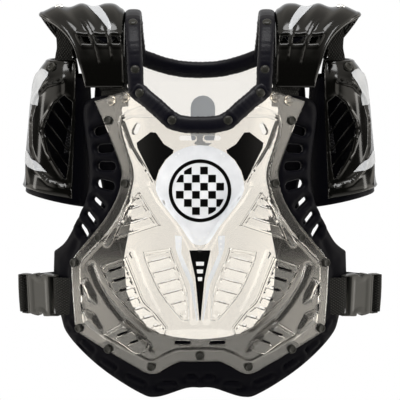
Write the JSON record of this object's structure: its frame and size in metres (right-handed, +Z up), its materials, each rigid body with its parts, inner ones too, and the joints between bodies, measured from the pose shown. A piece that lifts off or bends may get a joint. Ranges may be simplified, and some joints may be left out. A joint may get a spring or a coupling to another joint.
{
  "type": "roost deflector",
  "caption": "Worn chest and back protector: clear vented plates on black foam, padded neck, gloss black shoulder and arm guards, buckled side straps.",
  "frame": {"origin": "middle of the body, midway front to back, at the height where the padded neck straps rest on the wearer's shoulders", "axes": "+X to the right as seen from the front, +Y to the back (the chest plate faces -Y), +Z up"},
  "size_m": [0.4866, 0.239, 0.5162],
  "materials": {
    "clear_shell": "clear, glossy",
    "foam": "moulded foam under smooth black cloth, matte",
    "padding": "padded black cloth",
    "gloss_black": "gloss black",
    "webbing": "woven webbing",
    "buckle_plastic": "satin black",
    "stud": "satin black",
    "decal": "printed film, white and black",
    "label": "woven grey label"
  },
  "bodies": {
    "root": {"front_plate": "clear_shell", "front_liner": "foam", "chest_decal": "decal", "back_plate": "clear_shell", "back_liner": "foam", "back_label": "label", "neck_roll_front": "padding", "neck_roll_back": "padding", "neck_strap_right": "padding", "neck_strap_left": "padding", "shoulder_guard_right": "gloss_black", "shoulder_guard_left": "gloss_black", "shoulder_pad_right": "foam", "shoulder_pad_left": "foam", "chest_webbing_right": "webbing", "chest_webbing_left": "webbing", "back_webbing_right": "webbing", "back_webbing_left": "webbing", "arm_webbing_right": "webbing", "arm_webbing_left": "webbing", "arm_guard_right": "gloss_black", "arm_guard_left": "gloss_black", "arm_liner_right": "foam", "arm_liner_left": "foam", "arm_elastic_right": "webbing", "arm_elastic_left": "webbing", "side_webbing_front_right": "webbing", "side_webbing_front_left": "webbing", "side_webbing_back_right": "webbing", "side_webbing_back_left": "webbing", "buckle_socket_right": "buckle_plastic", "buckle_socket_left": "buckle_plastic", "buckle_insert_right": "buckle_plastic", "buckle_insert_left": "buckle_plastic", "rivet_middle": "stud", "rivet_1_right": "stud", "rivet_1_left": "stud", "rivet_2_right": "stud", "rivet_2_left": "stud", "rivet_3_right": "stud", "rivet_3_left": "stud", "rivet_4_right": "stud", "rivet_4_left": "stud", "rivet_5_right": "stud", "rivet_5_left": "stud", "rivet_6_right": "stud", "rivet_6_left": "stud", "rivet_7_right": "stud", "rivet_7_left": "stud", "corner_rivet_1_right": "stud", "corner_rivet_1_left": "stud", "corner_rivet_2_right": "stud", "corner_rivet_2_left": "stud"}
  },
  "joints": []
}
